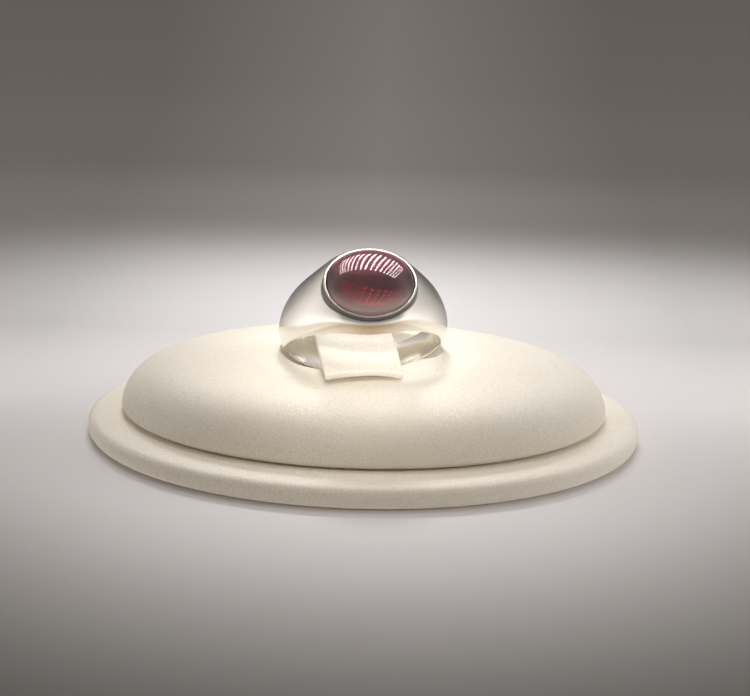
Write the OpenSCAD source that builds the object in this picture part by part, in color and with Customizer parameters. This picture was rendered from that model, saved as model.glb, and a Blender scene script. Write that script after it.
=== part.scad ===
// Garnet ring on an oval display stand, in millimetres.
// The origin is the middle of the stand's underside, +Z is up and -Y is the front.

/* [Ring] */
// Inside diameter of the shank, where the finger goes
finger_hole_d = 19.8; // [19.4:0.1:20]
// Thickness of the shank at its sides and back
shank_wall = 1.15; // [1.0:0.05:1.2]
// Width of the shank at the back of the finger
shank_back_w = 3.7; // [3.2:0.1:4]
// Width of the head under the stone, along the finger
head_w = 11; // [10.8:0.1:11.3]
// Height of the head's flat top above the middle of the finger hole
head_top_h = 12.7; // [12.5:0.05:12.8]
// How much the shoulders stand out past the plain shank
shoulder_rise = 2.5; // [2:0.1:3]

/* [Setting] */
// Length of the oval bezel, across the finger
bezel_l = 11.6; // [11.5:0.1:12]
// Width of the oval bezel, along the finger
bezel_w = 9.64; // [9.6:0.02:9.8]
// Height of the bezel's rim above the middle of the finger hole
bezel_rim_h = 13.15; // [13:0.05:13.4]
// Length of the cabochon at its base
stone_l = 11; // [10.6:0.1:11.1]
// Width of the cabochon at its base
stone_w = 9.2; // [8.8:0.1:9.2]
// Height of the cabochon's dome
stone_h = 3.4; // [2.8:0.1:4]
// Depth of the cabochon's base below the bezel's rim
stone_depth = 1; // [0.8:0.1:1.2]

/* [Ring on the stand] */
// Lean of the ring towards the front
ring_lean = 49.1; // [48.9:0.1:49.3]
// Turn of the ring about the upright
ring_turn = 8.3; // [8:0.1:9]
// Roll of the ring about the finger's line
ring_roll = -2.1; // [-2.5:0.1:-1.8]
// Height of the middle of the finger hole above the table
ring_height = 13.46; // [13.44:0.02:13.6]

/* [Stand] */
// Length of the oval board
base_l = 73; // [70:0.5:80]
// Width of the oval board
base_w = 54.2; // [52:0.2:60]
// Thickness of the board with its cover
base_t = 2.8; // [2.6:0.1:2.9]
// Length of the pad where it meets the board
pad_l = 61.8; // [60:0.2:63]
// Width of the pad where it meets the board
pad_w = 43; // [42:0.2:44]
// Height of the pad above the board
pad_h = 7.9; // [7.8:0.05:7.9]
// How far the padded side swells past its foot
pad_swell = 1.2; // [0.6:0.1:1.6]

/* [Clip tab] */
// Width of the tab that holds the ring down
tab_w = 10.1; // [9:0.1:10.4]
// Thickness of the tab
tab_t = 0.9; // [0.8:0.05:0.95]
// Turn of the tab about the upright
tab_turn = 10.5; // [10:0.1:11]

/* [Hidden] */

// Clear space between the stone and its setting
stone_gap = 0.05;
// Clear space between the tab and the walls of the slot
slot_gap = 0.3;

hole_r = finger_hole_d / 2;
shank_r = hole_r + shank_wall;
ring_middle = [-0.35, 0.14, ring_height];

// How fast the width, the shoulders and the squareness die away from the head
width_fall = 2.48;
// The last bit of the head's width is an oval ledge round the bezel, which dies away quickly
ledge_w = 1;
ledge_fall = 36;
shoulder_fall = 6.06;
square_fall = 29;
// Exponent of the domed section on the shank and on the head, where 2 is an ellipse
shank_section = 1.74;
head_section = 5.5;
// The loft starts this much inside the hole, and the round hole is then cut true
hole_stock = 0.5;
// Flat side of the band between the hole and the start of its dome
edge_land = 0.12;
ring_steps = 84;
crown_steps = 16;

// The tab in its own turned frame: along is towards the back
tab_shift = -2.1;
tab_tip_along = -13.3;
tab_crest_along = 0.7;
tab_bend_along = 2.5;
tab_crest_h = 14.05;
tab_front_r = 41;
tab_rear_r = 8.3;
tab_root_h = 4.5;
tab_steps = 10;

// The slot in the pad, in the same turned frame
slot_shift = -0.4;
slot_half_l = 11.3;
slot_ends_along = -0.5;
slot_front_along = -8.9;
slot_slope = 20;
slot_edge_h = 10.9;
pad_steps = 96;

// The padded edge swells out at this height above the board
swell_h = 1;
dome_square = 7;
dome_round = 1.76;
// The roll along the front edge of the slot
lip_h = 0.45;
lip_out = 0.7;
lip_reach = 2.2;
lip_end_fade = 3;

// Edge of the board: its rounding and the number of steps round it
base_round = 1.2;
base_steps = 5;

// 1 at the head (angle 0) and 0 at the back of the shank
function fade(angle, fall) = pow((1 + cos(angle)) / 2, fall);
function mix(a, b, t) = a + (b - a) * t;

function band_w(angle) =
    mix(shank_back_w, head_w - ledge_w, fade(angle, width_fall)) + ledge_w * fade(angle, ledge_fall);
function section_power(angle) = mix(shank_section, head_section, fade(angle, square_fall));
function shoulder_r(angle) = shank_r + shoulder_rise * fade(angle, shoulder_fall);
function crown_r(angle) = cos(angle) > 0.5
    ? min(head_top_h / cos(angle), shoulder_r(angle))
    : shoulder_r(angle);

// One domed cross-section of the band: [radius, place along the finger]
function band_section(angle) =
    let (w = band_w(angle) / 2, edge_r = hole_r + edge_land, p = 2 / section_power(angle))
    concat(
        [[hole_r - hole_stock, w]],
        [for (i = [0:crown_steps])
            let (a = 180 * i / crown_steps - 90, side = a < 0 ? 1 : -1)
            [mix(edge_r, crown_r(angle), pow(abs(cos(a)), p)), side * w * pow(abs(sin(a)), p)]],
        [[hole_r - hole_stock, -w]]
    );

// Skin of a closed ring of sections, or of a stack of loops with flat ends
function skin_faces(loops, points, joined) =
    [for (i = [0:loops - (joined ? 1 : 2)], j = [0:points - 1])
        let (k = (i + 1) % loops, m = (j + 1) % points)
        each [[i * points + j, k * points + j, k * points + m],
              [i * points + j, k * points + m, i * points + m]]];

module loop_stack(loops) {
    n = len(loops[0]);
    last = (len(loops) - 1) * n;
    polyhedron(
        points = [for (loop = loops) each loop],
        faces = concat(
            [[for (j = [0:n - 1]) j]],
            skin_faces(len(loops), n, false),
            [[for (j = [n - 1:-1:0]) last + j]]
        )
    );
}

function oval(a, b, z, steps) =
    [for (j = [0:steps - 1]) let (t = 360 * j / steps) [a * cos(t), b * sin(t), z]];

// Puts its children in the ring's own frame: Y is the finger's line, Z is up through the stone
module on_ring() {
    translate(ring_middle)
        rotate([0, 0, ring_turn])
            rotate([ring_lean, 0, 0])
                rotate([0, ring_roll, 0])
                    children();
}

module band_loft() {
    loops = [for (i = [0:ring_steps - 1])
        let (angle = 360 * i / ring_steps)
        [for (p = band_section(angle)) [p[0] * sin(angle), p[1], p[0] * cos(angle)]]];
    polyhedron(
        points = [for (loop = loops) each loop],
        faces = skin_faces(ring_steps, len(loops[0]), true)
    );
}

// The oval collar that is rubbed over the stone: [inset, height]
module bezel_collar() {
    rows = [
        [0, bezel_rim_h - 2.5],
        [0, bezel_rim_h - 0.2],
        [0.05, bezel_rim_h - 0.07],
        [0.16, bezel_rim_h],
    ];
    loop_stack([for (row = rows) oval(bezel_l / 2 - row[0], bezel_w / 2 - row[0], row[1], 72)]);
}

module stone_dome(grow) {
    base = bezel_rim_h - stone_depth;
    translate([0, 0, base - grow])
        intersection() {
            scale([stone_l / 2 + grow, stone_w / 2 + grow, stone_h + 2 * grow]) sphere(r = 1, $fn = 72);
            translate([-stone_l, -stone_l, 0]) cube([2 * stone_l, 2 * stone_l, 2 * stone_h]);
        }
}

module ring_band() {
    color("silver")
        on_ring()
            difference() {
                union() {
                    band_loft();
                    bezel_collar();
                }
                rotate([90, 0, 0]) cylinder(h = 2 * head_w, r = hole_r, center = true, $fn = 144);
                stone_dome(stone_gap);
            }
}

module garnet() {
    color("darkred")
        on_ring()
            stone_dome(0);
}

module stand_base() {
    a = base_l / 2;
    b = base_w / 2;
    edge = [for (i = [0:base_steps]) let (t = 90 * i / base_steps)
        [base_round * (1 - sin(t)), base_round * (1 - cos(t))]];
    lower = [for (e = edge) oval(a - e[0], b - e[0], e[1], pad_steps)];
    upper = [for (i = [base_steps:-1:0]) let (e = edge[i]) oval(a - e[0], b - e[0], base_t - e[1], pad_steps)];
    color("ivory")
        loop_stack(concat(lower, upper));
}

// Crown of the pad: full height in the middle, falling to its swollen edge where share is 1
function dome_z(share) =
    base_t + swell_h + (pad_h - swell_h) * pow(max(0, 1 - pow(share, dome_square)), 1 / dome_round);

slot_sag = slot_ends_along - slot_front_along;
slot_front_r = (slot_half_l * slot_half_l + slot_sag * slot_sag) / (2 * slot_sag);
slot_front_middle = slot_front_along + slot_front_r;

// Roll of cover and padding just outside the slot's front edge
function lip_z(x, y) =
    let (
        across = x * cos(tab_turn) + y * sin(tab_turn) - slot_shift,
        along = -x * sin(tab_turn) + y * cos(tab_turn) - slot_front_middle,
        from_crest = norm([across, along]) - slot_front_r - lip_out,
        end_fade = 1 / (1 + exp((along + slot_front_middle - slot_ends_along + lip_end_fade)))
    )
    lip_h * exp(-pow(from_crest / lip_reach, 2) * (from_crest < 0 ? 4 : 1)) * end_fade;

// Shares of the way out from the middle at which the pad has a ring of points
pad_shares = concat(
    [for (i = [0:10]) 1 - pow(i / 10, 2) * 0.4],
    [for (i = [1:13]) 0.6 - 0.58 * i / 13]
);

module pad_dome() {
    a = pad_l / 2 + pad_swell;
    b = pad_w / 2 + pad_swell;
    foot = [oval(pad_l / 2, pad_w / 2, base_t, pad_steps), oval(a - 0.25, b - 0.25, base_t + swell_h / 2, pad_steps)];
    crown = [for (share = pad_shares)
        [for (p = oval(a * share, b * share, dome_z(share), pad_steps)) [p[0], p[1], p[2] + lip_z(p[0], p[1])]]];
    loop_stack(concat(foot, crown));
}

// Puts its children in the turned frame that the tab and the slot share
module on_tab() {
    rotate([0, 0, tab_turn]) children();
}

// Outline of the slot from above: a wide front arc, a rear arc behind the shank, and the tab's own notch
module slot_outline() {
    far = 2 * slot_half_l;
    intersection() {
        translate([slot_shift, slot_front_middle]) circle(r = slot_front_r, $fn = 120);
        translate([-far, slot_ends_along - far]) square([2 * far, far]);
    }
    intersection() {
        translate([slot_shift, slot_ends_along]) circle(r = slot_half_l, $fn = 120);
        translate([-far, slot_ends_along]) square([2 * far, far]);
    }
    translate([tab_shift - tab_w / 2 - slot_gap, 0])
        square([tab_w + 2 * slot_gap, tab_bend_along + tab_rear_r + slot_gap]);
}

// The cut slopes down from the front edge of the slot to the foot of the shank
module slot_cut() {
    on_tab()
        intersection() {
            linear_extrude(height = 2 * pad_h + base_t) slot_outline();
            translate([-base_l / 2, slot_front_along, slot_edge_h])
                rotate([-slot_slope, 0, 0])
                    translate([0, -base_w, 0])
                        cube([base_l, 2 * base_w, 2 * pad_h]);
        }
}

module stand_pad() {
    color("ivory")
        difference() {
            pad_dome();
            slot_cut();
        }
}

// Side view of the tab: [along, height] on the outer side when inset is 0
function tab_line(inset) = concat(
    [[tab_bend_along + tab_rear_r - inset, tab_root_h]],
    [for (i = [0:tab_steps]) let (t = 90 * i / tab_steps)
        [tab_bend_along + (tab_rear_r - inset) * cos(t),
         tab_crest_h - tab_rear_r + (tab_rear_r - inset) * sin(t)]],
    [for (i = [0:tab_steps])
        let (t = asin((tab_crest_along - tab_tip_along) / tab_front_r) * i / tab_steps)
        [tab_crest_along - (tab_front_r - inset) * sin(t),
         tab_crest_h - tab_front_r + (tab_front_r - inset) * cos(t)]]
);

module clip_tab() {
    outer = tab_line(0);
    inner = tab_line(tab_t);
    color("ivory")
        on_tab()
            translate([tab_shift - tab_w / 2, 0, 0])
                rotate([90, 0, 90])
                    linear_extrude(height = tab_w)
                        polygon(concat(outer, [for (i = [len(inner) - 1:-1:0]) inner[i]]));
}

ring_band();
garnet();
stand_base();
stand_pad();
clip_tab();
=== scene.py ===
# %% [markdown]
# # A garnet ring on its oval stand
#
# A man's silver ring with an oval garnet leans in the slot of a small padded stand, and a
# springy tab comes up through the ring and holds it. The imported model fixes where every
# piece is and how large it may be. This lesson makes each piece the way a maker would
# think of it, gives it the finish of its real material, and prints its size beside the model's.

import math
import bpy
from mathutils import Euler, Matrix, Vector


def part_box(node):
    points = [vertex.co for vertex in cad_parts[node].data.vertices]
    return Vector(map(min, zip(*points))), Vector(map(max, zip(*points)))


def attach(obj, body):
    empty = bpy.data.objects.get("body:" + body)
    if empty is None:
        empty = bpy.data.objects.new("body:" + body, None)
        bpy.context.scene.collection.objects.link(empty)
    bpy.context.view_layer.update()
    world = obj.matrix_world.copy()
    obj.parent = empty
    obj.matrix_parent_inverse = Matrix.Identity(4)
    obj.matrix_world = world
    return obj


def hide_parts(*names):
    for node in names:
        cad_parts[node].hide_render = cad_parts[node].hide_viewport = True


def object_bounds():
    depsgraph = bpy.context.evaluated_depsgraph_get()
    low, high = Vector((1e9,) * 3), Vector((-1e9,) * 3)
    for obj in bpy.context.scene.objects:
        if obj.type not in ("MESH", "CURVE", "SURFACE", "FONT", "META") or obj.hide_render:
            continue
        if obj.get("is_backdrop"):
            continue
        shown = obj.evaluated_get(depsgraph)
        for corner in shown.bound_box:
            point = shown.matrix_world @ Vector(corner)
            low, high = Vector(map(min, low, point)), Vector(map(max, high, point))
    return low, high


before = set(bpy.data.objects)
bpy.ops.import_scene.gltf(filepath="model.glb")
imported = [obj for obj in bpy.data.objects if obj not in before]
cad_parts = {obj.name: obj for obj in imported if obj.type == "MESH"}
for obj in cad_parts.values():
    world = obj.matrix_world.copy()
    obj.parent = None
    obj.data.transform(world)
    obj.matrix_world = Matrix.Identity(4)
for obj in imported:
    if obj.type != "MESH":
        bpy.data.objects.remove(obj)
cad_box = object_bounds()
MM = 0.001
for name in sorted(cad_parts):
    low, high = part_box(name)
    print(name, "spans", [round((h - l) / MM, 2) for l, h in zip(low, high)], "mm")

# %% [markdown]
# ## The view
#
# The photograph looks down at the stand from a little above the ring, with a lens close to
# the normal one. The camera's place, turn and lens were fitted to the stand's outline in it.
# The camera comes first, so that every piece can be judged as it is made.

# %% The camera
bpy.ops.object.camera_add(location=(0.002101, -0.129412, 0.048392))
camera = bpy.context.object
camera.name = "camera"
camera.rotation_euler = Euler([math.radians(a) for a in (73.895, -1.422, 0.771)])
camera.data.lens = 48.77
camera.data.sensor_width = 36
camera.data.sensor_fit = "HORIZONTAL"
camera.data.clip_start = 0.005
camera.data.clip_end = 20
bpy.context.scene.camera = camera
print("camera", round((camera.location - Vector((0, 0, 0.01))).length / MM), "mm from the ring")

# %% [markdown]
# ## Hand tools
#
# Blender's operators act on all that is selected, so a small helper selects just the
# vertices, edges or faces that a test picks out, and then opens edit mode on them. Other
# helpers bake a modifier, and hand a finished piece to the frame with its place in its mesh.


# %% Select, apply and finish
def edit(piece, kind, test):
    """Opens edit mode on a piece with only the parts selected that the test picks."""
    if bpy.context.object and bpy.context.object.mode == "EDIT":
        bpy.ops.object.mode_set(mode="OBJECT")
    bpy.ops.object.select_all(action="DESELECT")
    piece.select_set(True)
    bpy.context.view_layer.objects.active = piece
    bpy.ops.object.mode_set(mode="EDIT")
    bpy.ops.mesh.select_mode(type=kind)
    bpy.ops.mesh.select_all(action="DESELECT")
    bpy.ops.object.mode_set(mode="OBJECT")
    parts = {"VERT": piece.data.vertices, "EDGE": piece.data.edges, "FACE": piece.data.polygons}
    for part in parts[kind]:
        part.select = bool(test(part))
    bpy.ops.object.mode_set(mode="EDIT")


def close_edit(piece):
    """Leaves edit mode with the normals pointing outwards."""
    bpy.ops.mesh.select_all(action="SELECT")
    bpy.ops.mesh.normals_make_consistent(inside=False)
    bpy.ops.object.mode_set(mode="OBJECT")
    return piece


def modify(piece, kind, **settings):
    """Adds a modifier with its settings and applies it."""
    bpy.ops.object.select_all(action="DESELECT")
    piece.select_set(True)
    bpy.context.view_layer.objects.active = piece
    made = piece.modifiers.new(kind.lower(), kind)
    for key, value in settings.items():
        setattr(made, key, value)
    bpy.ops.object.modifier_apply(modifier=made.name)


def finish(piece, material, slot, *nodes, angle=35):
    """Smooths a piece, bakes its place into its mesh and hands it to the frame."""
    bpy.ops.object.select_all(action="DESELECT")
    piece.select_set(True)
    bpy.context.view_layer.objects.active = piece
    bpy.ops.object.transform_apply(location=True, rotation=True, scale=True)
    bpy.ops.object.shade_smooth_by_angle(angle=math.radians(angle))
    piece.data.materials.clear()
    piece.data.materials.append(material)
    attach(piece, "root")
    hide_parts(*nodes)
    triangles = sum(len(p.vertices) - 2 for p in piece.data.polygons)
    print(piece.name, "made,", triangles, "triangles")


# %% [markdown]
# Most of the pieces here are ovals: the board, the pad, the bezel. An oval is easily raised
# by hand from one edge loop, which is extruded, widened and lifted again and again. The
# rows of a small table say how wide and how high each new loop lies.


# %% Raise an oval from one edge loop
def new_oval(name, steps, row):
    """A bare oval edge loop, all of it selected in edit mode. A row is half sizes and height, in mm."""
    bpy.ops.object.select_all(action="DESELECT")
    bpy.ops.mesh.primitive_circle_add(vertices=steps, radius=MM, fill_type="NOTHING")
    piece = bpy.context.object
    piece.name = piece.data.name = name
    edit(piece, "EDGE", lambda e: True)
    bpy.ops.transform.resize(value=(row[0], row[1], 1), center_override=(0, 0, 0))
    bpy.ops.transform.translate(value=(0, 0, row[2] * MM))
    return piece


def raise_rows(rows):
    """Extrudes the selected loop through the next rows of half sizes and height, in mm."""
    for (a, b, z), (c, d, h) in zip(rows, rows[1:]):
        bpy.ops.mesh.extrude_edges_move()
        bpy.ops.transform.resize(value=(c / a, d / b, 1), center_override=(0, 0, 0))
        bpy.ops.transform.translate(value=(0, 0, (h - z) * MM))


def closed_oval(name, steps, rows):
    """An oval solid whose wall runs through the rows, with both ends filled."""
    piece = new_oval(name, steps, rows[0])
    bpy.ops.mesh.edge_face_add()
    edit(piece, "EDGE", lambda e: True)
    raise_rows(rows)
    bpy.ops.mesh.edge_face_add()
    return close_edit(piece)


# %% [markdown]
# ## Shader tools
#
# Colours are picked as hex values, as on a screen, and turned to the linear values that
# light needs. One function adds a node, sets it and joins its sockets.


# %% Colours and nodes
def linear(code):
    """An sRGB hex value as linear red, green, blue and alpha."""
    parts = [int(code[i:i + 2], 16) / 255 for i in (1, 3, 5)]
    return [p / 12.92 if p <= 0.04045 else ((p + 0.055) / 1.055) ** 2.4 for p in parts] + [1]


def add_node(tree, kind, sockets=(), **settings):
    """Adds a node. A socket's value is a plain value, or another node and the name of its output."""
    made = tree.nodes.new(kind)
    for key, value in settings.items():
        setattr(made, key, value)
    for key, value in dict(sockets).items():
        if isinstance(value, tuple) and isinstance(value[0], bpy.types.Node):
            tree.links.new(value[0].outputs[value[1]], made.inputs[key])
        else:
            made.inputs[key].default_value = value
    return made


def new_material(name):
    """An empty node material with its output."""
    made = bpy.data.materials.new(name)
    made.use_nodes = True
    made.node_tree.nodes.clear()
    return made, made.node_tree, made.node_tree.nodes.new("ShaderNodeOutputMaterial")


# %% [markdown]
# ## Ivory leatherette
#
# The stand is covered in leatherette: a cloth coated in soft PVC and pressed with a fine
# leather grain. It is matt with a faint waxy shine on its crests, and warm where it shades
# itself. Real grain of this kind has pebbles of about 0.4 mm, which the pattern keeps. A
# very faint, larger cloudiness comes from the padding and the hand. Down in the slot the
# colour turns a little greyer, where an attribute of the pad says so.

# %% Material: pressed PVC leatherette
PEBBLE, CLOUD, CREASE_DEPTH = 0.42 * MM, 9 * MM, 0.03 * MM
leatherette, tree, out = new_material("ivory_pressed_leatherette")
place = add_node(tree, "ShaderNodeTexCoord")
warp = add_node(tree, "ShaderNodeTexNoise", {
    "Vector": (place, "Object"), "Scale": 1 / (2.5 * PEBBLE), "Detail": 2})
bent = add_node(tree, "ShaderNodeMix", {"Factor": 0.00025, "A": (place, "Object"), "B": (warp, "Color")},
                data_type="VECTOR")
pebbles = add_node(tree, "ShaderNodeTexVoronoi", {"Vector": (bent, "Result"), "Scale": 1 / PEBBLE},
                   feature="DISTANCE_TO_EDGE")
crease = add_node(tree, "ShaderNodeMapRange", {"Value": (pebbles, "Distance"), "From Max": 0.16})
cloud = add_node(tree, "ShaderNodeTexNoise", {
    "Vector": (place, "Object"), "Scale": 1 / CLOUD, "Detail": 3})
tone = add_node(tree, "ShaderNodeMapRange", {"Value": (cloud, "Fac"), "From Min": 0.35, "From Max": 0.65})
cream = add_node(tree, "ShaderNodeMix", {
    "Factor": (tone, "Result"), "A": linear("#f1ebdd"), "B": linear("#ede5d5")}, data_type="RGBA")
shaded = add_node(tree, "ShaderNodeMix", {
    "Factor": (crease, "Result"), "A": linear("#e5dbc7"), "B": (cream, "Result")}, data_type="RGBA")
# Inside the slot the colour turns a little greyer, where an attribute of the pad says so.
slot_grey_fac = add_node(tree, "ShaderNodeAttribute", attribute_name="foam")
cover_with_slot_grey = add_node(tree, "ShaderNodeMix", {
    "Factor": (slot_grey_fac, "Fac"), "A": (shaded, "Result"), "B": linear("#e6e0d6")}, data_type="RGBA")
gloss = add_node(tree, "ShaderNodeMapRange", {"Value": (crease, "Result"), "To Min": 0.62, "To Max": 0.5})
relief = add_node(tree, "ShaderNodeBump", {
    "Height": (crease, "Result"), "Strength": 0.1, "Distance": CREASE_DEPTH})
skin = add_node(tree, "ShaderNodeBsdfPrincipled", {
    "Base Color": (cover_with_slot_grey, "Result"), "Roughness": (gloss, "Result"), "Normal": (relief, "Normal"),
    "IOR": 1.5, "Sheen Weight": 0.08, "Sheen Roughness": 0.5})
tree.links.new(skin.outputs["BSDF"], out.inputs["Surface"])
print("leatherette grain", PEBBLE / MM, "mm")

# %% [markdown]
# ## Polished silver
#
# The ring is cast in sterling silver and buffed on a mop with rouge. That leaves a bright,
# slightly soft mirror: hairlines too fine to see one by one spread the reflections a little.
# They run round the band, so the pattern is turned as the ring is. The real ones are only
# some thousandths of a millimetre apart. Here they are drawn 0.05 mm apart, so that the
# render can catch them.
#
# The mop doesn't reach everywhere, so the corner at the foot of the bezel and the bezel's own
# wall stay dull. Their colour is painted grey as well: painted shade at the foot, and a painted
# dark reflection on the front of the wall. Along the lower edges of the head a warm tan is
# painted shade, for the shaded tab and pad that the head mirrors. Two attributes say where.

# %% Material: buffed sterling silver
RING_TURN, RING_LEAN, RING_ROLL = 8.3, 49.1, -2.1
HAIRLINE, SMEAR, SCRATCH_DEPTH = 0.05 * MM, 1.6 * MM, 0.01 * MM
silver, tree, out = new_material("buffed_sterling_silver")
place = add_node(tree, "ShaderNodeTexCoord")
turned = add_node(tree, "ShaderNodeMapping", {
    "Vector": (place, "Object"), "Scale": (0.12, 1, 0.12),
    "Rotation": [math.radians(a) for a in (-RING_LEAN, 0, -RING_TURN)]})
lines = add_node(tree, "ShaderNodeTexNoise", {
    "Vector": (turned, "Vector"), "Scale": 1 / HAIRLINE, "Detail": 2})
smears = add_node(tree, "ShaderNodeTexNoise", {
    "Vector": (place, "Object"), "Scale": 1 / SMEAR, "Detail": 3})
buffed = add_node(tree, "ShaderNodeMapRange", {
    "Value": (smears, "Fac"), "From Min": 0.3, "From Max": 0.7, "To Min": 0.16, "To Max": 0.23})
# Painted shade: this attribute greys the silver at the bezel's foot and on the front of its wall, for the
# shadow at the foot and the dark that the wall mirrors. The extra roughness there is a real duller polish.
corner = add_node(tree, "ShaderNodeAttribute", attribute_name="recess")
grey_shade_painted = add_node(tree, "ShaderNodeMix", {
    "Factor": (corner, "Fac"), "A": linear("#f3f1ec"), "B": linear("#5c5856")}, data_type="RGBA")
# Painted shade: this attribute turns the silver warm tan along the lower edges of the head, for the shaded
# tab and pad that the head mirrors.
tan_shade = add_node(tree, "ShaderNodeAttribute", attribute_name="patina")
silver_shade_painted = add_node(tree, "ShaderNodeMix", {
    "Factor": (tan_shade, "Fac"), "A": (grey_shade_painted, "Result"), "B": linear("#a38c72")}, data_type="RGBA")
dull = add_node(tree, "ShaderNodeMath", {0: (corner, "Fac"), 1: 0.2, 2: (buffed, "Result")},
                operation="MULTIPLY_ADD")
relief = add_node(tree, "ShaderNodeBump", {
    "Height": (lines, "Fac"), "Strength": 0.05, "Distance": SCRATCH_DEPTH})
metal = add_node(tree, "ShaderNodeBsdfPrincipled", {
    "Base Color": (silver_shade_painted, "Result"), "Metallic": 1,
    "Roughness": (dull, "Value"), "Normal": (relief, "Normal")})
tree.links.new(metal.outputs["BSDF"], out.inputs["Surface"])
print("silver hairlines", HAIRLINE / MM, "mm apart")

# %% [markdown]
# ## Garnet
#
# An almandine garnet is a heavy red stone with a high index of refraction, about 1.76, so
# its polished dome throws a sharp reflection. The colour is not on its skin but in its
# depth: light that crosses the thick middle comes back almost brown, and only where it
# crosses little stone, or is gathered by the dome, does it glow red.
#
# Over the clear stone lies a second, milky surface, mixed in by a share that follows the
# slope of the dome. Its colour is painted light: a rosy painted sheen where the dome faces
# upwards to the lamps, and a grey painted reflection of the pad where it faces down.

# %% Material: polished almandine
ALMANDINE = 1.76
garnet_glass, tree, out = new_material("polished_almandine_garnet")
clear = add_node(tree, "ShaderNodeBsdfPrincipled", {
    "Base Color": linear("#ffffff"), "Roughness": 0.0, "IOR": ALMANDINE, "Transmission Weight": 1})
dome = add_node(tree, "ShaderNodeNewGeometry")
slope = add_node(tree, "ShaderNodeSeparateXYZ", {"Vector": (dome, "Normal")})
high = add_node(tree, "ShaderNodeMapRange", {"Value": (slope, "Z"), "From Min": 0.35, "From Max": 0.7})
low = add_node(tree, "ShaderNodeMapRange", {"Value": (slope, "Z"), "From Min": 0.35, "From Max": -0.1})
# Painted light: the milky layer is a rosy painted sheen where the dome faces up, and a grey painted
# reflection of the pad where it faces down.
rosy_sheen_painted = add_node(tree, "ShaderNodeMix", {
    "Factor": (high, "Result"), "A": linear("#8a6066"), "B": linear("#d67f92")}, data_type="RGBA")
painted_sheen_colour = add_node(tree, "ShaderNodeMix", {
    "Factor": (low, "Result"), "A": (rosy_sheen_painted, "Result"), "B": linear("#cfaca1")}, data_type="RGBA")
painted_sheen_layer = add_node(tree, "ShaderNodeBsdfPrincipled", {
    "Base Color": (painted_sheen_colour, "Result"), "Roughness": 0.0, "IOR": ALMANDINE})
# The milky layer's share follows the dome's slope: painted sheen above, painted reflection below.
sheen_share_up = add_node(tree, "ShaderNodeMapRange", {
    "Value": (slope, "Z"), "From Min": 0.56, "From Max": 0.78, "To Min": 0.09, "To Max": 0.32},
    interpolation_type="SMOOTHSTEP")
reflection_share_down = add_node(tree, "ShaderNodeMapRange", {
    "Value": (slope, "Z"), "From Min": 0.45, "From Max": -0.1, "To Min": 0.09, "To Max": 0.27},
    interpolation_type="SMOOTHSTEP")
share = add_node(tree, "ShaderNodeMath", {0: (sheen_share_up, "Result"), 1: (reflection_share_down, "Result")},
                 operation="MAXIMUM")
stone = add_node(tree, "ShaderNodeMixShader", {
    0: (share, "Value"), 1: (clear, "BSDF"), 2: (painted_sheen_layer, "BSDF")})
depth = add_node(tree, "ShaderNodeVolumeAbsorption", {"Color": linear("#dc5688"), "Density": 740})
tree.links.new(stone.outputs["Shader"], out.inputs["Surface"])
tree.links.new(depth.outputs["Volume"], out.inputs["Volume"])
print("garnet index", clear.inputs["IOR"].default_value)

# %% [markdown]
# ## The board
#
# The foot of the stand is an oval board, wrapped so that its edges are soft. It could be
# cut from a cylinder and bevelled, but raising one oval through the rows of its rounded
# edge gives an even rounding on both the long and the short side.

# %% Make the board
BOARD_A, BOARD_B, BOARD_T, EDGE, EDGE_STEPS = 36.5, 27.1, 2.8, 1.2, 8
turns = [math.radians(90 * i / EDGE_STEPS) for i in range(EDGE_STEPS + 1)]
rows = [(BOARD_A - EDGE * (1 - math.sin(t)), BOARD_B - EDGE * (1 - math.sin(t)), EDGE * (1 - math.cos(t)))
        for t in turns]
rows += [(a, b, BOARD_T - z) for a, b, z in reversed(rows)]
board = closed_oval("stand_board", 256, rows)
finish(board, leatherette, "leatherette", "stand_base", angle=50)

# %% [markdown]
# ## The pad
#
# On the board lies a thick foam oval, covered in the same leatherette and pulled tight, so
# that its top is nearly flat and its side swells out before it tucks under. A slot in the
# middle takes the ring. Its edges are soft, because the cover is drawn down into it, and a
# low roll of foam stands up along the front edge.
#
# The cover is too tight for folds, so no cloth has to fall here. A half sphere is opened
# out in code, ring by ring, to the profile of the pad, and each point is then let down
# where it lies over the slot, as a thumb would press it.

# %% The pad's profile and its slot
PAD_A, PAD_B, PAD_H, SWELL_H = 32.1, 22.7, 7.9, 1.0
TOP_FLATNESS, SIDE_ROUNDNESS = 7, 1.76
SLOT_TURN = math.radians(10.5)
TAB_SHIFT, TAB_W = -2.1, 10.1
SLOT_SHIFT, SLOT_FRONT, SLOT_TOP, SLOT_FALL = -0.3, -8.9, 10.9, math.radians(20)
NOTCH_GAP, NOTCH_END, SOFT_BACK, SOFT_FRONT = 0.3, 11.1, 0.3, 0.8
ROLL_H, ROLL_TILT, UNDER_TAB = 0.12, 0.015, 0.2
LUMP_H, LUMP_AT, LUMP_W = 0.42, 5.8, 2.2
DENT_H, DENT_AT, DENT_W = 0.2, 5, 1.2
# Each row: degrees round from the slot's front, and how far out its edge lies there, in mm
OUTLINE = [
    (-180, 11.05), (-112, 10.9), (-95, 10.6), (-78, 10.4), (-60, 10.1), (-50, 9.95),
    (-38, 9.8), (-20, 9.0), (0, 8.5), (20, 8.5), (32, 8.5), (43, 8.7),
    (53, 9.0), (68, 9.75), (85, 10.4), (100, 10.7), (115, 10.95), (180, 11.05),
]


def mix(a, b, t):
    """The value a share t of the way from a to b."""
    return a + (b - a) * t


def pad_top(share):
    """Height of the cover at a share of the way out to its widest oval, in mm."""
    return BOARD_T + SWELL_H + (PAD_H - SWELL_H) * max(0, 1 - share ** TOP_FLATNESS) ** (1 / SIDE_ROUNDNESS)


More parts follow.
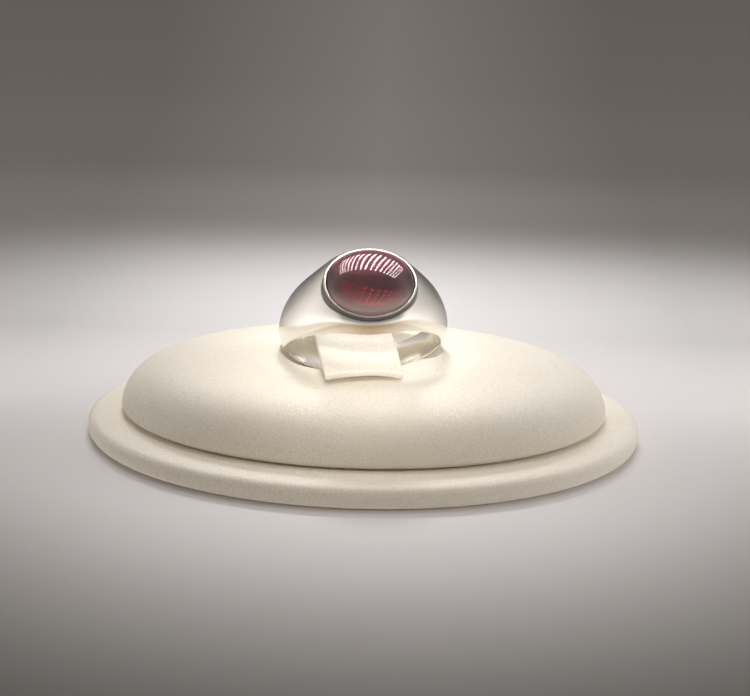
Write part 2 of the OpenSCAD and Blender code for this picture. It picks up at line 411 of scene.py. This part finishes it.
def turned_frame(x, y):
    """A point across and along the turned line that the slot and the tab share."""
    c, s = math.cos(SLOT_TURN), math.sin(SLOT_TURN)
    return x * c + y * s, y * c - x * s


def smooth(a, b, value):
    """Rises softly from none at a to one at b."""
    t = min(max((value - a) / (b - a), 0), 1)
    return t * t * (3 - 2 * t)


def outside_slot(across, along):
    """How far a point lies outside the edge of the slot, in mm, and negative inside it."""
    angle = math.degrees(math.atan2(across - SLOT_SHIFT, -along))
    for (low, near), (high, far) in zip(OUTLINE, OUTLINE[1:]):
        if angle <= high:
            break
    wide = math.hypot(across - SLOT_SHIFT, along) - mix(near, far, smooth(low, high, angle))
    side, back = abs(across - TAB_SHIFT) - TAB_W / 2 - NOTCH_GAP, along - NOTCH_END
    notch = math.hypot(max(side, 0), max(back, 0)) + min(max(side, back), 0)
    return min(wide, notch) if along > 0 else wide


def cushion(across, along):
    """How far the foam swells up before the slot, in mm, as far as the dent under the tab's tip."""
    ahead = outside_slot(across, along) - 0.4
    swell = ROLL_H + ROLL_TILT * across + LUMP_H * math.exp(-((across - LUMP_AT) / LUMP_W) ** 2)
    under_tab = smooth(TAB_W / 2 + 0.6, TAB_W / 2 - 0.2, abs(across - TAB_SHIFT))
    swell -= UNDER_TAB * under_tab * smooth(-7, -10, along)
    dent = DENT_H * math.exp(-((ahead - DENT_AT) / DENT_W) ** 2)
    return (swell * (1 - smooth(1.6, 4.8, ahead)) - dent) * smooth(-1.5, -6, along)


def pad_height(x, y, share):
    """Height of the cover over a point: the dome, the cushion before the slot and the slot itself."""
    across, along = turned_frame(x, y)
    top = pad_top(share) + cushion(across, along)
    floor = min(top, SLOT_TOP - (along - SLOT_FRONT) * math.tan(SLOT_FALL))
    edge = mix(SOFT_BACK, SOFT_FRONT, smooth(-2, -6, along))
    u = min(max(outside_slot(across, along) / edge, 0), 1)
    return floor + (top - floor) * math.sqrt(1 - (1 - u) ** 2)


# %% Make the pad
FINE, COARSE = 112, 34
shares = [0.5 * i / FINE for i in range(FINE)]
shares += [1 - 0.5 * ((COARSE - i) / COARSE) ** 1.8 for i in range(COARSE + 1)]
rings = len(shares) - 1
bpy.ops.object.select_all(action="DESELECT")
bpy.ops.mesh.primitive_uv_sphere_add(segments=360, ring_count=2 * rings, radius=1)
pad = bpy.context.object
pad.name = pad.data.name = "stand_pad_cover"
edit(pad, "VERT", lambda v: v.co.z < -0.2 / rings)
bpy.ops.mesh.delete(type="VERT")
bpy.ops.object.mode_set(mode="OBJECT")
for v in pad.data.vertices:
    step = round(math.degrees(math.acos(min(max(v.co.z, -1), 1))) / 90 * rings)
    share, round_it = shares[step], math.atan2(v.co.y, v.co.x)
    x, y = PAD_A * share * math.cos(round_it), PAD_B * share * math.sin(round_it)
    v.co = Vector((x, y, pad_height(x, y, share))) * MM
print("pad opened out to", rings, "rings")

# %% [markdown]
# The side of the pad is then drawn down from its widest oval to its foot, where it tucks
# in on the board, and closed underneath. The points in the slot are marked for a greyer colour.

# %% Tuck the pad's side under
SWELL, TUCK, TUCK_STEPS = BOARD_T + SWELL_H, 1.2, 6
edge = [(PAD_A, PAD_B, SWELL)]
for i in range(1, TUCK_STEPS + 1):
    t = i / TUCK_STEPS
    edge.append((PAD_A - TUCK * t ** 2.2, PAD_B - TUCK * t ** 2.2, SWELL - SWELL_H * t))
edit(pad, "VERT", lambda v: abs(v.co.z - SWELL * MM) < 1e-6 and
     abs(math.hypot(v.co.x / PAD_A, v.co.y / PAD_B) / MM - 1) < 1e-4)
raise_rows(edge)
bpy.ops.mesh.edge_face_add()
close_edit(pad)
# Mark the points in the slot for the greyer colour.
foam = pad.data.attributes.new("foam", "FLOAT", "POINT")
for v in pad.data.vertices:
    across, along = turned_frame(v.co.x / MM, v.co.y / MM)
    slot_grey_share = smooth(0.1, -0.3, outside_slot(across, along))
    foam.data[v.index].value = slot_grey_share if v.co.z > BOARD_T * MM else 0
finish(pad, leatherette, "leatherette", "stand_pad", angle=60)

# %% [markdown]
# ## The tab
#
# The tab is a strip of spring steel covered in the same leatherette. It rises out of the
# back of the slot, bends over through the ring and lies down in front of it. A flat grid
# is laid along that line in code, given its thickness by a Solidify modifier and its
# soft, turned-over edges by a Bevel. Its tip is bowed up, tapered and cut a little askew.

# %% The line of the tab, seen from its side
ROOT_H, BEND, REAR_R, CREST, CREST_H, FRONT_ARC, TIP = 4.5, 2.5, 8.3, 0.7, 14.05, 41, -13.3
SWEEP = math.asin((CREST - TIP) / FRONT_ARC)
LENGTHS = [CREST_H - REAR_R - ROOT_H, REAR_R * math.pi / 2, BEND - CREST, FRONT_ARC * SWEEP]


def tab_point(gone):
    """Along and height of the tab's upper side after so many mm from its root."""
    for part, length in enumerate(LENGTHS):
        if gone <= length or part == 3:
            break
        gone -= length
    if part == 0:
        return BEND + REAR_R, ROOT_H + gone
    if part == 1:
        t = gone / REAR_R
        return BEND + REAR_R * math.cos(t), CREST_H - REAR_R + REAR_R * math.sin(t)
    if part == 2:
        return BEND - gone, CREST_H
    t = gone / FRONT_ARC
    return CREST - FRONT_ARC * math.sin(t), CREST_H - FRONT_ARC * (1 - math.cos(t))


# %% Make the tab
TAB_T, TAB_EDGE, TIP_RUN, BOW_H, TAPER, SKEW = 0.9, 0.4, 6, 0.5, 0.38, -0.4
bpy.ops.object.select_all(action="DESELECT")
bpy.ops.mesh.primitive_grid_add(x_subdivisions=20, y_subdivisions=110, size=1)
tab = bpy.context.object
tab.name = tab.data.name = "covered_clip_tab"
for v in tab.data.vertices:
    side, gone = v.co.x * 2, (v.co.y + 0.5) * sum(LENGTHS)
    along, height = tab_point(gone)
    near_tip = smooth(TIP + TIP_RUN, TIP, along)
    bow = BOW_H * near_tip ** 2 * (1 - abs(side + 0.1) ** 2.5)
    taper = TAPER * smooth(-2, TIP, along) * max(side, 0)
    skew = SKEW * near_tip * (0.2 - side) if side < 0.2 else 0
    v.co = Vector((side * TAB_W / 2 - taper + TAB_SHIFT, along + skew, height + bow)) * MM
tab.rotation_euler.z = SLOT_TURN
bpy.ops.object.transform_apply(location=True, rotation=True, scale=True)
edit(tab, "FACE", lambda f: True)
close_edit(tab)
up = max(tab.data.polygons, key=lambda f: f.center.z).normal.z
modify(tab, "SOLIDIFY", thickness=TAB_T * MM, offset=-1 if up > 0 else 1)
modify(tab, "BEVEL", width=TAB_EDGE * MM, segments=5, limit_method="ANGLE",
       angle_limit=math.radians(50))
finish(tab, leatherette, "leatherette", "clip_tab", angle=40)

# %% [markdown]
# ## The band
#
# The band is cast in one: a narrow round shank at the back that widens and thickens into
# tapered shoulders and a flat head. A jeweller would carve it from a ring of wax. Here a
# circle is spun round the finger into a plain ring, and the wax is then carved in code:
# each point moves to the width, height and roundness that the band has at its angle.
#
# Two thirds of the turn round its section go over its top and sides, as one rounded oval.
# The last third goes round the small edge of the hole and over its inside, which is gently
# domed for comfort. Close to the bezel the head widens once more, to a short ledge, and
# under the stone it is cut down flat.

# %% How the band grows from shank to head
HOLE, SHANK, SHOULDER_RISE, HEAD_TOP = 9.9, 11.05, 2.5, 12.7
SHANK_W, HEAD_W, LEDGE_W = 3.7, 10, 1
SHANK_SECTION, HEAD_SECTION = 1.74, 5.5
SHOULDER_FALL, WIDTH_FALL, SECTION_FALL, LEDGE_FALL = 6.06, 2.48, 29, 36
RUN_IN, LAND, LAND_SHARE, COMFORT = 0.08, 0.14, 0.25, 0.15
SIDE_END = math.radians(120)


def fade(angle, fall):
    """One at the head, falling to none at the back of the shank."""
    return ((1 + math.cos(angle)) / 2) ** fall


def crown(angle):
    """Radius of the band's top: the shoulder's swell, or the flat of the head where that is lower."""
    shoulder = SHANK + SHOULDER_RISE * fade(angle, SHOULDER_FALL)
    if math.cos(angle) < 0.5:
        return shoulder
    flat = HEAD_TOP / math.cos(angle)
    return -RUN_IN * math.log(math.exp(-shoulder / RUN_IN) + math.exp(-flat / RUN_IN))


def band_point(angle, turn):
    """A point of the band in the ring's own frame, in mm. Its turn goes round the section from the top."""
    half = mix(SHANK_W, HEAD_W, fade(angle, WIDTH_FALL)) / 2 + LEDGE_W / 2 * fade(angle, LEDGE_FALL)
    side = math.copysign(1, turn)
    if abs(turn) <= SIDE_END:
        s = abs(turn) * 0.75
        power = 2 / mix(SHANK_SECTION, HEAD_SECTION, fade(angle, SECTION_FALL))
        r = mix(HOLE + LAND, crown(angle), abs(math.cos(s)) ** power)
        y = half * math.sin(s) ** power
    else:
        t = (abs(turn) - SIDE_END) / (math.pi - SIDE_END)
        round_edge = min(t / LAND_SHARE, 1) * math.pi / 2
        r = HOLE + LAND * (1 - math.sin(round_edge))
        y = half - LAND * (1 - math.cos(round_edge))
        if t > LAND_SHARE:
            left = (1 - t) / (1 - LAND_SHARE)
            r -= COMFORT * (1 - left ** 2)
            y = (half - LAND) * left
    return Vector((r * math.sin(angle), side * y, r * math.cos(angle)))


# %% Make the band
# The second and third numbers set the strength and fall of the tan painted shade under the head.
WAX_R, TAN_SHADE, TAN_SHADE_FALL = 10.5, 0.9, 22
SEAT_A, SEAT_B, SEAT_H = 5.68, 4.7, 11.9
bpy.ops.object.select_all(action="DESELECT")
bpy.ops.mesh.primitive_circle_add(vertices=96, radius=MM, fill_type="NOTHING",
                                  location=(0, 0, WAX_R * MM), rotation=(0, math.radians(90), 0))
band = bpy.context.object
band.name = band.data.name = "silver_band"
bpy.ops.object.transform_apply(location=True, rotation=True, scale=True)
edit(band, "EDGE", lambda e: True)
bpy.ops.mesh.spin(steps=360, angle=2 * math.pi, center=(0, 0, 0), axis=(0, 1, 0))
bpy.ops.mesh.select_all(action="SELECT")
bpy.ops.mesh.remove_doubles(threshold=1e-6)
bpy.ops.object.mode_set(mode="OBJECT")
# Mark the lower edges of the head for the tan painted shade.
patina = band.data.attributes.new("patina", "FLOAT", "POINT")
for v in band.data.vertices:
    angle = math.atan2(v.co.x, v.co.z)
    turn = math.atan2(v.co.y, math.hypot(v.co.x, v.co.z) - WAX_R * MM)
    p = band_point(angle, turn)
    if p.z > SEAT_H and math.hypot(p.x / SEAT_A, p.y / SEAT_B) < 1:
        p.z = SEAT_H
    v.co = p * MM
    down = math.degrees(abs(turn))
    edge_share = smooth(70, 84, down) * smooth(150, 125, down)
    patina.data[v.index].value = TAN_SHADE * edge_share * fade(angle, TAN_SHADE_FALL)
edit(band, "FACE", lambda f: True)
close_edit(band)
print("band carved,", len(band.data.vertices), "points")

# %% [markdown]
# The bezel is a wall of sheet silver bent round the stone and soldered to the head. Its
# top is rubbed over the edge of the stone, so it ends in a narrow, bright, rounded rim.
# It is raised from one oval: up the outside, over the rim, down the inside and across
# the seat under the stone. Soldered, it is one piece with the band. The points at its foot
# and on the front of its wall are marked for a duller polish and for grey painted shade: the
# shadow at the foot and the dark that the wall mirrors. Then the whole ring is turned and
# leaned back, and set in the slot.

# %% Make the bezel and join it to the band
BEZEL_A, BEZEL_B, BEZEL_TOP, FOOT_LOW, FOOT_TOP = 5.80, 4.82, 13.15, 11, 12.6
RING_MIDDLE = (-0.35, 0.14, 13.46)
# Each row: half length, half width and height, in mm
bezel = closed_oval("bezel", 224, [
    (BEZEL_A, BEZEL_B, 10.65),
    (BEZEL_A, BEZEL_B, 11.60),
    (BEZEL_A, BEZEL_B, 12.74),
    (5.78, 4.80, 12.90),
    (5.72, 4.74, 13.03),
    (5.63, 4.66, 13.12),
    (5.52, 4.57, BEZEL_TOP),
    (5.43, 4.51, 13.14),
    (5.37, 4.47, 13.09),
    (5.36, 4.47, 13.00),
    (5.42, 4.53, 12.80),
    (5.50, 4.60, 12.40),
    (5.54, 4.64, 12.10),
    (5.20, 4.30, 12.08),
])
bpy.ops.object.select_all(action="DESELECT")
bezel.select_set(True)
band.select_set(True)
bpy.context.view_layer.objects.active = band
bpy.ops.object.join()
# Mark the bezel's foot and the front of its wall for the grey painted shade and the duller polish.
recess = band.data.attributes.new("recess", "FLOAT", "POINT")
for v in band.data.vertices:
    x, y, z = v.co / MM
    reach = math.hypot(x / BEZEL_A, y / BEZEL_B)
    foot_shade = smooth(1.03, 1.005, reach)
    wall = smooth(BEZEL_TOP, 13.05, z) * (reach > 0.95) * smooth(3, 1, y)
    recess.data[v.index].value = (foot_shade if z < FOOT_TOP else wall) if z > FOOT_LOW else 0
RING_PLACE = Matrix.Translation(Vector(RING_MIDDLE) * MM)
for axis, turn in (("Z", RING_TURN), ("X", RING_LEAN), ("Y", RING_ROLL)):
    RING_PLACE = RING_PLACE @ Matrix.Rotation(math.radians(turn), 4, axis)
band.matrix_world = RING_PLACE
finish(band, silver, "silver", "ring_band", angle=40)

# %% [markdown]
# ## The stone
#
# A cabochon is ground to a smooth dome with a flat back. A fine ball is flattened to the
# stone's three sizes and cut through at its widest oval, and the sharp edge that is left,
# the girdle, is taken off a little so that it doesn't chip in the setting.

# %% Make the cabochon
STONE_SIZES, STONE_H, GIRDLE = (5.5, 4.6, 3.4), 12.15, 0.12
bpy.ops.object.select_all(action="DESELECT")
bpy.ops.mesh.primitive_ico_sphere_add(subdivisions=6, radius=1)
stone_piece = bpy.context.object
stone_piece.name = stone_piece.data.name = "garnet_cabochon"
stone_piece.scale = Vector(STONE_SIZES) * MM
bpy.ops.object.transform_apply(location=True, rotation=True, scale=True)
edit(stone_piece, "FACE", lambda f: True)
bpy.ops.mesh.bisect(plane_co=(0, 0, 0), plane_no=(0, 0, 1), use_fill=True, clear_inner=True)
close_edit(stone_piece)
modify(stone_piece, "BEVEL", width=GIRDLE * MM, segments=3, limit_method="ANGLE",
       angle_limit=math.radians(60))
stone_piece.matrix_world = RING_PLACE @ Matrix.Translation((0, 0, STONE_H * MM))
finish(stone_piece, garnet_glass, "garnet", "garnet", angle=12)

# %% [markdown]
# ## Floor and light
#
# In the photo the floor is light round the stand and darkens towards the eye and to the
# sides, more than its lighting alone explains, so that darkening is painted shade on the card.
# It curves up at its far edge into the backdrop.

# %% The floor
FLOOR_R, CURVE_R, CURVE_H = 900, 500, 250
floor = new_oval("floor", 96, (FLOOR_R, FLOOR_R, 0))
bpy.ops.mesh.edge_face_add()
edit(floor, "EDGE", lambda e: True)
turns = [math.radians(t) for t in range(0, 91, 6)]
reaches = [FLOOR_R + CURVE_R * math.sin(t) for t in turns]
raise_rows([(reach, reach, CURVE_H * (1 - math.cos(t))) for t, reach in zip(turns, reaches)])
bpy.ops.object.mode_set(mode="OBJECT")
bpy.ops.object.shade_smooth_by_angle(angle=math.radians(40))
floor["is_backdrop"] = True
floor.visible_glossy = False

# %% Material: matt card with painted shade
paper, tree, out = new_material("matt_card_painted_shade")
place = add_node(tree, "ShaderNodeTexCoord")
spot_of = add_node(tree, "ShaderNodeSeparateXYZ", {"Vector": (place, "Object")})
off = add_node(tree, "ShaderNodeVectorMath", {0: (place, "Object"), 1: (0, 28 * MM, 0)},
               operation="DISTANCE")
# Painted shade: the card's colour darkens away from the pool of light round the stand, towards the eye and
# to the sides, for the fall of the light.
far = add_node(tree, "ShaderNodeMapRange", {
    "Value": (off, "Value"), "From Min": 60 * MM, "From Max": 104 * MM}, interpolation_type="SMOOTHSTEP")
front = add_node(tree, "ShaderNodeMapRange", {
    "Value": (spot_of, "Y"), "From Min": 100 * MM, "From Max": 15 * MM})
shade_near_painted = add_node(tree, "ShaderNodeMath", {0: (far, "Result"), 1: (front, "Result")},
                     operation="MULTIPLY")
aside = add_node(tree, "ShaderNodeMath", {0: (spot_of, "X")}, operation="ABSOLUTE")
away = add_node(tree, "ShaderNodeMath", {0: (spot_of, "Y"), 1: 260 * MM}, operation="ADD")
bearing = add_node(tree, "ShaderNodeMath", {0: (aside, "Value"), 1: (away, "Value")}, operation="DIVIDE")
wide = add_node(tree, "ShaderNodeMapRange", {
    "Value": (bearing, "Value"), "From Min": 0, "From Max": 0.19, "To Max": 0.42})
deep = add_node(tree, "ShaderNodeMapRange", {
    "Value": (spot_of, "Y"), "From Min": 10 * MM, "From Max": 48 * MM})
shade_far_painted = add_node(tree, "ShaderNodeMath", {0: (wide, "Result"), 1: (deep, "Result")},
                    operation="MULTIPLY")
floor_shade_painted = add_node(tree, "ShaderNodeMath", {0: (shade_near_painted, "Value"), 1: (shade_far_painted, "Value")},
                operation="MAXIMUM")
tone = add_node(tree, "ShaderNodeMix", {
    "Factor": (floor_shade_painted, "Value"), "A": linear("#dbd7d4"), "B": linear("#5e5b57")}, data_type="RGBA")
matt = add_node(tree, "ShaderNodeBsdfPrincipled", {"Base Color": (tone, "Result"), "Roughness": 0.9})
tree.links.new(matt.outputs["BSDF"], out.inputs["Surface"])
floor.data.materials.append(paper)
print("card", FLOOR_R, "mm to its curve")

# %% [markdown]
# Over the stand hangs a panel of small lamps, sixteen by ten, on a white board. Their rows
# show as streaks and dots in the dome of the stone. Glowing discs and a faintly lit board
# stand for them there, and the camera doesn't see them.

# %% The lamps of the panel
PANEL_X, PANEL_Y, PANEL_H, PANEL_TURN = 14 * MM, 41 * MM, 160 * MM, math.radians(-9)
COLUMNS, ROWS, PITCH, LAMP_R = 16, 10, 17.5 * MM, 4 * MM
FIRST_COLUMN, FIRST_ROW = -PITCH * (COLUMNS - 1) / 2, -76 * MM
bpy.ops.object.select_all(action="DESELECT")
bpy.ops.mesh.primitive_circle_add(vertices=12, radius=LAMP_R, fill_type="NGON",
                                  location=(FIRST_COLUMN, FIRST_ROW, PANEL_H))
lamps = bpy.context.object
lamps.name = "panel_lamps"
bpy.ops.object.transform_apply(location=True, rotation=True, scale=True)
for count, step in ((COLUMNS, (PITCH, 0, 0)), (ROWS, (0, PITCH, 0))):
    modify(lamps, "ARRAY", count=count, use_relative_offset=False, use_constant_offset=True,
           constant_offset_displace=step)
lamps.rotation_euler.z = PANEL_TURN
lamps.location = (PANEL_X, PANEL_Y, 0)
bpy.ops.object.transform_apply(location=True, rotation=True)
glow, tree, out = new_material("lit_lamp")
lit = add_node(tree, "ShaderNodeEmission", {"Color": linear("#fff8f2"), "Strength": 26})
tree.links.new(lit.outputs["Emission"], out.inputs["Surface"])
lamps.data.materials.append(glow)
lamps.visible_camera = lamps.visible_diffuse = False
lamps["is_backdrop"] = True
print("panel", COLUMNS * ROWS, "lamps at", PANEL_H / MM, "mm")

# %% [markdown]
# The lighting itself comes from soft lamps that nothing shiny sees. One has the place of
# the panel, one stands behind, and a weak one on each side fills the shadows. Three spots
# with soft edges make the pool of light on the pad, the tab and the inside of the ring,
# and two points beside the ring brighten the pad that its shoulders mirror.


# %% The lights
def aimed(kind, name, place, aim, watts, tint="#f9faff"):
    """A light at one point aimed at another, in mm, seen neither by the camera nor in anything shiny."""
    bpy.ops.object.light_add(type=kind, location=Vector(place) * MM)
    made = bpy.context.object
    made.name = name
    made.rotation_euler = (Vector(place) - Vector(aim)).to_track_quat("Z", "Y").to_euler()
    made.data.energy = watts
    made.data.color = linear(tint)[:3]
    made.visible_camera = made.visible_glossy = made.visible_transmission = False
    return made


def soft_light(name, place, aim, size, watts, spread=180):
    """A rectangle of soft light. A smaller spread in degrees keeps it to what it faces."""
    made = aimed("AREA", name, place, aim, watts)
    made.data.shape = "RECTANGLE"
    made.data.size, made.data.size_y = size[0] * MM, size[1] * MM
    made.data.spread = math.radians(spread)


def spot(name, place, aim, cone, radius, watts, tint="#f9faff"):
    """A soft spot with its cone in degrees and its radius in mm."""
    made = aimed("SPOT", name, place, aim, watts, tint)
    made.data.spot_size, made.data.spot_blend = math.radians(cone), 1
    made.data.shadow_soft_size = radius * MM


soft_light("panel_light", (14, 62, 165), (14, 62, 0), (200, 120), 0.074, spread=46)
soft_light("back_light", (0, 250, 150), (0, 0, 15), (300, 120), 0.04)
soft_light("wall_left", (-220, -10, 95), (0, 0, 15), (180, 120), 0.009, spread=50)
soft_light("wall_right", (220, -10, 95), (0, 0, 15), (180, 120), 0.028, spread=50)
spot("spot_behind", (-12, 118, 190), (0, -7, 12), 20, 20, 1.32)
spot("spot_front", (-4, -68, 84), (-1, -11, 12), 27, 8, 0.14, tint="#fff8ee")
spot("spot_inside", (4, -125, 54), (1, 1, 11.5), 10, 4, 0.45)
for name, x in (("glint_left", -8.6), ("glint_right", 8.0)):
    glint = aimed("POINT", name, (x, 3, 12.8), (0, 0, 0), 0.0006)
    glint.data.shadow_soft_size = 1.2 * MM
bpy.context.scene.view_settings.view_transform = "Standard"
print("lights", len(bpy.data.lights))

# %% [markdown]
# The white board that holds the lamps is a thin box just above them. It glows faintly, as
# if the floor below lit it, and it throws no shadow.

# %% The board that holds the lamps
PANEL_SIZE, PANEL_GAP = (285, 180, 2), 3 * MM
bpy.ops.object.select_all(action="DESELECT")
bpy.ops.mesh.primitive_cube_add(size=1, location=(PANEL_X, PANEL_Y, PANEL_H + PANEL_GAP))
panel = bpy.context.object
panel.name = "panel_board"
panel.scale = Vector(PANEL_SIZE) * MM
panel.rotation_euler.z = PANEL_TURN
bpy.ops.object.transform_apply(location=True, rotation=True, scale=True)
shine, tree, out = new_material("lit_white_board")
lit = add_node(tree, "ShaderNodeEmission", {"Color": linear("#fffaf6"), "Strength": 0.25})
tree.links.new(lit.outputs["Emission"], out.inputs["Surface"])
panel.data.materials.append(shine)
panel.visible_camera = panel.visible_diffuse = panel.visible_transmission = panel.visible_shadow = False
panel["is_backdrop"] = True
print("board", PANEL_SIZE, "mm")

# %% [markdown]
# Silver shows the room round it. To everything matt the room is an even, weak light. What
# shiny things see of it depends on where they look: it is brightest low at the sides,
# where the lit floor goes on, and falls away upwards, to the front and to the back. It
# never falls below a floor, which is higher in front than behind.

# %% The room as shiny things see it
MATT_LIGHT, AT_SIDE, UPWARD, DOWNWARD = 0.3, 1.17, -0.5, -0.7
OFF_SIDE, BEHIND = -0.95, 1.13
LEAST_FRONT, LEAST_BACK = 0.36, 0.15
world = bpy.data.worlds.new("room")
bpy.context.scene.world = world
world.use_nodes = True
tree = world.node_tree
room = tree.nodes["Background"]
way = add_node(tree, "ShaderNodeTexCoord")
part = add_node(tree, "ShaderNodeSeparateXYZ", {"Vector": (way, "Generated")})
ahead = add_node(tree, "ShaderNodeMath", {0: (part, "Y"), 1: -1}, operation="MULTIPLY")
behind = add_node(tree, "ShaderNodeMath", {0: (part, "Y"), 1: BEHIND}, operation="MULTIPLY")
off_side = add_node(tree, "ShaderNodeMath", {0: (ahead, "Value"), 1: (behind, "Value")},
                    operation="MAXIMUM")
low = add_node(tree, "ShaderNodeMath", {0: (part, "Z"), 1: 0}, operation="MINIMUM")
sideways = add_node(tree, "ShaderNodeMath", {0: (low, "Value"), 1: DOWNWARD, 2: AT_SIDE},
                    operation="MULTIPLY_ADD")
raised = add_node(tree, "ShaderNodeMath", {0: (part, "Z"), 1: UPWARD, 2: (sideways, "Value")},
                  operation="MULTIPLY_ADD")
fallen = add_node(tree, "ShaderNodeMath", {0: (off_side, "Value"), 1: OFF_SIDE, 2: (raised, "Value")},
                  operation="MULTIPLY_ADD")
least = add_node(tree, "ShaderNodeMapRange", {
    "Value": (part, "Y"), "From Min": -0.3, "From Max": 0.3, "To Min": LEAST_FRONT, "To Max": LEAST_BACK})
seen = add_node(tree, "ShaderNodeMath", {0: (fallen, "Value"), 1: (least, "Result")},
                operation="MAXIMUM")
ray = add_node(tree, "ShaderNodeLightPath")
strength = add_node(tree, "ShaderNodeMix", {
    "Factor": (ray, "Is Glossy Ray"), "A": MATT_LIGHT, "B": (seen, "Value")})
tree.links.new(strength.outputs["Result"], room.inputs["Strength"])
room.inputs["Color"].default_value = linear("#f7f0e9")
print("room lights matt things at", MATT_LIGHT)

# %% [markdown]
# ## The sizes
#
# The dressed ring and stand may not outgrow the model that they dress, so both boxes are
# printed side by side.

visual_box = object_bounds()
for title, (low, high) in (("model", cad_box), ("dressed", visual_box)):
    print(title, [round((h - l) / MM, 2) for l, h in zip(low, high)], "mm")
